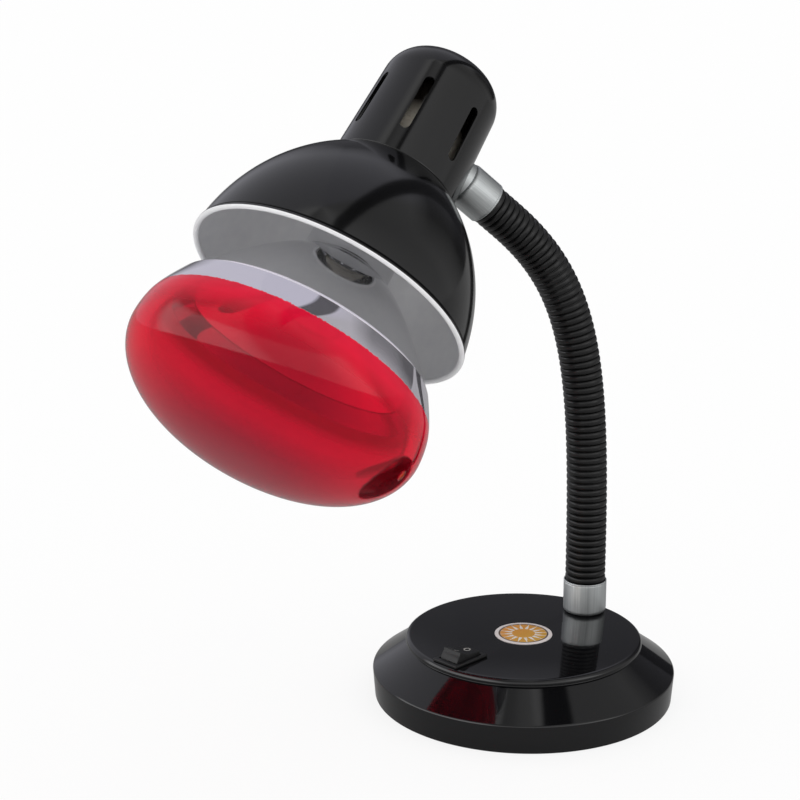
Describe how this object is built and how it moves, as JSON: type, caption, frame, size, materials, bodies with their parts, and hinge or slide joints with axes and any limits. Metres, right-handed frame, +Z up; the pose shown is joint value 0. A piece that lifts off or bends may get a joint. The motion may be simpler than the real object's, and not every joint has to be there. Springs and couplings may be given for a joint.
{
  "type": "infrared heat lamp",
  "caption": "Table heat lamp: red reflector bulb in a black domed shade, on a gooseneck over a weighted round base with a rocker switch.",
  "frame": {"origin": "centre of the round base, on the surface that the lamp stands on", "axes": "+Z up; +Y towards the back, where the neck stands; -Y towards the front, where the rocker switch is; +X to the right seen from the front"},
  "size_m": [0.1551, 0.2359, 0.2785],
  "materials": {
    "gloss_black_abs": "gloss",
    "plate_paint": "satin",
    "cast_iron": "rough",
    "zinc_steel": "satin",
    "rubber": "matt",
    "badge_film": "gloss",
    "black_nylon": "satin",
    "switch_plastic": "satin",
    "brass": "satin",
    "zinc_ferrule": "satin",
    "spring_steel": "satin",
    "black_enamel": "gloss",
    "porcelain": "gloss",
    "ruby_glass": "gloss",
    "mirrored_glass": "gloss",
    "bulb_cap_metal": "satin",
    "bulb_insulator": "gloss",
    "clear_glass": "gloss",
    "filament_wire": "satin"
  },
  "bodies": {
    "base": {"base_cover": "gloss_black_abs", "bottom_plate": "plate_paint", "ballast_weight": "cast_iron", "base_screws": "zinc_steel", "base_pad": "rubber", "base_badge": "badge_film", "cord_bushing": "black_nylon", "switch_housing": "switch_plastic", "switch_terminals": "brass", "foot_ferrule": "zinc_ferrule", "foot_nipple": "zinc_steel", "foot_washer": "zinc_steel", "foot_nut": "zinc_steel", "sleeve_1": "black_nylon", "core_1": "spring_steel"},
    "rocker": {"switch_rocker": "switch_plastic"},
    "link_1": {"sleeve_2": "black_nylon", "core_2": "spring_steel"},
    "link_2": {"sleeve_3": "black_nylon", "core_3": "spring_steel"},
    "link_3": {"sleeve_4": "black_nylon", "core_4": "spring_steel"},
    "link_4": {"sleeve_5": "black_nylon", "core_5": "spring_steel"},
    "link_5": {"sleeve_6": "black_nylon", "core_6": "spring_steel"},
    "link_6": {"sleeve_7": "black_nylon", "core_7": "spring_steel"},
    "link_7": {"sleeve_8": "black_nylon", "core_8": "spring_steel"},
    "link_8": {"sleeve_9": "black_nylon", "core_9": "spring_steel"},
    "link_9": {"sleeve_10": "black_nylon", "core_10": "spring_steel"},
    "link_10": {"sleeve_11": "black_nylon", "core_11": "spring_steel"},
    "head": {"sleeve_12": "black_nylon", "core_12": "spring_steel", "head_ferrule": "zinc_ferrule", "head_saddle": "zinc_ferrule", "head_nipple": "zinc_steel", "head_nut": "zinc_steel", "socket_cap": "black_enamel", "lamp_shade": "black_enamel", "holder_bracket": "zinc_steel", "bracket_screws": "zinc_steel", "holder_body": "porcelain", "holder_shell": "brass", "holder_contact": "brass"},
    "bulb": {"bulb_face": "ruby_glass", "bulb_reflector": "mirrored_glass", "bulb_base_shell": "bulb_cap_metal", "bulb_base_contact": "bulb_insulator", "bulb_stem": "clear_glass", "bulb_filament": "filament_wire", "bulb_supports": "filament_wire"}
  },
  "joints": [
    {"name": "neck_bend_1", "type": "hinge", "parent": "base", "child": "link_1", "pos_m": [0, 0.041, 0.0537], "axis": [0.8696, -0.4938, 0], "range_deg": [-5, 4]},
    {"name": "neck_sway_1", "type": "hinge", "parent": "link_1", "child": "link_2", "pos_m": [-0.00017, 0.04089, 0.07927], "axis": [0.4937, 0.8695, 0.0166], "range_deg": [-4, 4]},
    {"name": "neck_bend_2", "type": "hinge", "parent": "link_2", "child": "link_3", "pos_m": [-0.00069, 0.04047, 0.10159], "axis": [0.8696, -0.4938, 0], "range_deg": [-5, 4]},
    {"name": "neck_sway_2", "type": "hinge", "parent": "link_3", "child": "link_4", "pos_m": [-0.00158, 0.03959, 0.12103], "axis": [0.4919, 0.8663, 0.0866], "range_deg": [-4, 4]},
    {"name": "neck_bend_3", "type": "hinge", "parent": "link_4", "child": "link_5", "pos_m": [-0.00287, 0.03808, 0.13792], "axis": [0.8696, -0.4938, 0], "range_deg": [-5, 4]},
    {"name": "neck_sway_3", "type": "hinge", "parent": "link_5", "child": "link_6", "pos_m": [-0.00456, 0.03579, 0.15261], "axis": [0.4799, 0.8451, 0.2355], "range_deg": [-4, 4]},
    {"name": "neck_bend_4", "type": "hinge", "parent": "link_6", "child": "link_7", "pos_m": [-0.00669, 0.03258, 0.16545], "axis": [0.8696, -0.4938, 0], "range_deg": [-5, 4]},
    {"name": "neck_sway_4", "type": "hinge", "parent": "link_7", "child": "link_8", "pos_m": [-0.00928, 0.02828, 0.17678], "axis": [0.4368, 0.7693, 0.4662], "range_deg": [-4, 4]},
    {"name": "neck_bend_5", "type": "hinge", "parent": "link_8", "child": "link_9", "pos_m": [-0.01233, 0.02275, 0.18696], "axis": [0.8696, -0.4938, 0], "range_deg": [-5, 4]},
    {"name": "neck_sway_5", "type": "hinge", "parent": "link_9", "child": "link_10", "pos_m": [-0.01588, 0.01582, 0.19632], "axis": [0.36, 0.6339, 0.6846], "range_deg": [-4, 4]},
    {"name": "neck_bend_6", "type": "hinge", "parent": "link_10", "child": "head", "pos_m": [-0.01995, 0.00735, 0.20522], "axis": [0.8696, -0.4938, 0], "range_deg": [-5, 4]},
    {"name": "rocker_press", "type": "hinge", "parent": "base", "child": "rocker", "pos_m": [0, -0.04, 0.0259], "axis": [1, 0, 0], "range_deg": [0, 24]},
    {"name": "bulb_turn", "type": "hinge", "parent": "head", "child": "bulb", "pos_m": [-0.03, -0.087, 0.184], "axis": [-0.0917, 0.7061, 0.7022], "continuous": true}
  ]
}
